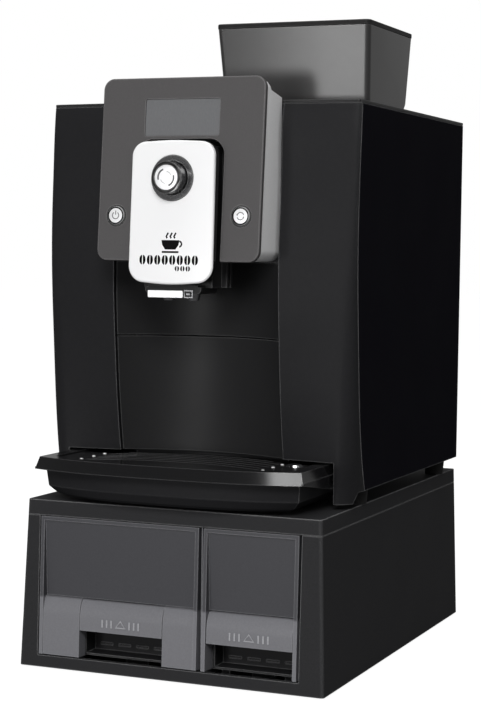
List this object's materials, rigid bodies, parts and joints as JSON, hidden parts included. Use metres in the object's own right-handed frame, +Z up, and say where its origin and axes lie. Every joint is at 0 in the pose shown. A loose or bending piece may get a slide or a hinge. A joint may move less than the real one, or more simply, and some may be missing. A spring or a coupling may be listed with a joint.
{
  "type": "hot coffee vending machine",
  "caption": "Bean-to-cup coffee vending machine with height-adjustable spout, control block, bean hopper and drip tray, standing on a base cabinet with push-latch drawers.",
  "frame": {"origin": "centre of the floor rectangle under the whole machine and its base cabinet", "axes": "+Z up, -Y the front with the drawers and the spout, +X the right-hand side seen from the front"},
  "size_m": [0.302, 0.4344, 0.5876],
  "materials": {
    "base_black": "satin powder coat",
    "bezel_silver": "satin silver-grey paint",
    "board_green": "lacquered board",
    "brass": "machined",
    "burr_steel": "hardened",
    "chrome": "polished",
    "clear": "clear plastic",
    "display": "smoked",
    "drawer_smoke": "translucent satin",
    "fascia_grey": "fine satin",
    "gloss_black": "gloss moulded",
    "inner_black": "matt moulded",
    "rubber": "moulded",
    "satin_black": "satin moulded",
    "side_texture": "fine-texture powder coat",
    "silver": "brushed",
    "smoke_clear": "smoked clear plastic",
    "steel": "bare",
    "white_gloss": "gloss"
  },
  "bodies": {
    "machine": {"base_housing": "base_black", "base_lid": "base_black", "base_pads": "rubber", "bezel_fascia": "fascia_grey", "bezel_housing": "bezel_silver", "boiler": "brass", "brew_frame": "inner_black", "brew_motor": "steel", "button_rings": "chrome", "column_upper_panel": "satin_black", "control_board": "board_green", "display_window": "display", "drawer_divider": "inner_black", "drawer_runners": "inner_black", "floor_pan": "steel", "front_shell": "gloss_black", "grinder_housing": "inner_black", "grinder_motor": "steel", "hopper_body": "smoke_clear", "inner_frame": "steel", "machine_feet": "rubber", "mains_inlet": "satin_black", "power_board": "board_green", "rear_panel": "side_texture", "rear_screws": "steel", "side_panel_left": "side_texture", "side_panel_right": "side_texture", "top_cover": "satin_black", "water_pump": "inner_black"},
    "left_drawer": {"left_drawer_front": "drawer_smoke", "left_drawer_bin": "inner_black", "left_hinge_pin": "steel"},
    "left_push": {"left_push_lever": "drawer_smoke"},
    "right_drawer": {"right_drawer_front": "drawer_smoke", "right_drawer_bin": "inner_black", "right_hinge_pin": "steel"},
    "right_push": {"right_push_lever": "drawer_smoke"},
    "drip_drawer": {"drip_tray": "gloss_black", "tray_rim": "gloss_black", "grounds_container": "inner_black", "column_lower_panel": "satin_black"},
    "grate": {"drip_grate": "gloss_black"},
    "float": {"tray_float": "chrome"},
    "power_key": {"power_button": "silver"},
    "menu_key": {"menu_button": "silver"},
    "spout": {"spout_carriage": "satin_black", "spout_cover": "white_gloss", "spout_outlets": "chrome", "knob_surround": "satin_black"},
    "knob": {"knob_body": "gloss_black", "knob_ring": "gloss_black"},
    "knob_centre": {"knob_cap": "silver"},
    "hopper_cover": {"hopper_lid": "smoke_clear"},
    "tank": {"water_tank": "clear"},
    "tank_cover": {"tank_lid": "satin_black"},
    "burr": {"lower_burr": "burr_steel"},
    "brew_cup": {"brew_chamber": "satin_black"},
    "brew_screw": {"lead_screw": "steel"},
    "rocker": {"power_rocker": "gloss_black"}
  },
  "joints": [
    {"name": "left_drawer_slide", "type": "slide", "parent": "machine", "child": "left_drawer", "axis": [0, -1, 0], "range_m": [0, 0.3]},
    {"name": "right_drawer_slide", "type": "slide", "parent": "machine", "child": "right_drawer", "axis": [0, -1, 0], "range_m": [0, 0.3]},
    {"name": "left_push", "type": "hinge", "parent": "left_drawer", "child": "left_push", "pos_m": [-0.04665, -0.18089, 0.06017], "axis": [1, 0, 0], "range_deg": [0, 7], "stiffness_Nm_per_rad": 0.5, "springref_deg": -14.32},
    {"name": "right_push", "type": "hinge", "parent": "right_drawer", "child": "right_push", "pos_m": [0.07785, -0.18089, 0.06017], "axis": [1, 0, 0], "range_deg": [0, 7], "stiffness_Nm_per_rad": 0.5, "springref_deg": -14.32},
    {"name": "drip_drawer_slide", "type": "slide", "parent": "machine", "child": "drip_drawer", "axis": [0, -1, 0], "range_m": [0, 0.2]},
    {"name": "grate_lift", "type": "slide", "parent": "drip_drawer", "child": "grate", "axis": [0, 0, 1], "range_m": [0, 0.015]},
    {"name": "float_rise", "type": "slide", "parent": "drip_drawer", "child": "float", "axis": [0, 0, 1], "range_m": [0, 0.006]},
    {"name": "power_press", "type": "slide", "parent": "machine", "child": "power_key", "axis": [0, 0.9968, -0.0794], "range_m": [0, 0.0012], "stiffness_N_per_m": 800, "springref_m": -0.001},
    {"name": "menu_press", "type": "slide", "parent": "machine", "child": "menu_key", "axis": [0, 0.9968, -0.0794], "range_m": [0, 0.0012], "stiffness_N_per_m": 800, "springref_m": -0.001},
    {"name": "spout_height", "type": "slide", "parent": "machine", "child": "spout", "axis": [0, 0, -1], "range_m": [0, 0.06]},
    {"name": "knob_turn", "type": "hinge", "parent": "spout", "child": "knob", "pos_m": [0, -0.195, 0.4455], "axis": [0, 1, 0], "continuous": true},
    {"name": "knob_press", "type": "slide", "parent": "knob", "child": "knob_centre", "axis": [0, 1, 0], "range_m": [0, 0.0012], "stiffness_N_per_m": 800, "springref_m": -0.001},
    {"name": "hopper_lid_lift", "type": "slide", "parent": "machine", "child": "hopper_cover", "axis": [0, 0, 1], "range_m": [0, 0.08]},
    {"name": "tank_lift", "type": "slide", "parent": "machine", "child": "tank", "axis": [0, 0, 1], "range_m": [0, 0.34]},
    {"name": "tank_lid_hinge", "type": "hinge", "parent": "tank", "child": "tank_cover", "pos_m": [-0.077, 0.1874, 0.5156], "axis": [-1, 0, 0], "range_deg": [0, 100]},
    {"name": "burr_spin", "type": "hinge", "parent": "machine", "child": "burr", "pos_m": [0.078, -0.045, 0.46], "axis": [0, 0, 1], "continuous": true},
    {"name": "brew_cup_rise", "type": "slide", "parent": "machine", "child": "brew_cup", "axis": [0, 0, 1], "range_m": [0, 0.04]},
    {"name": "brew_screw_spin", "type": "hinge", "parent": "machine", "child": "brew_screw", "pos_m": [-0.03, -0.014, 0.37], "axis": [0, 0, 1], "range_deg": [0, 1440]},
    {"name": "rocker_tilt", "type": "hinge", "parent": "machine", "child": "rocker", "pos_m": [0.095, 0.192, 0.254], "axis": [1, 0, 0], "range_deg": [0, 10]}
  ],
  "couplings": [
    {"joint": "brew_screw_spin", "follows": "brew_cup_rise", "rad_per_m": 628.32}
  ]
}
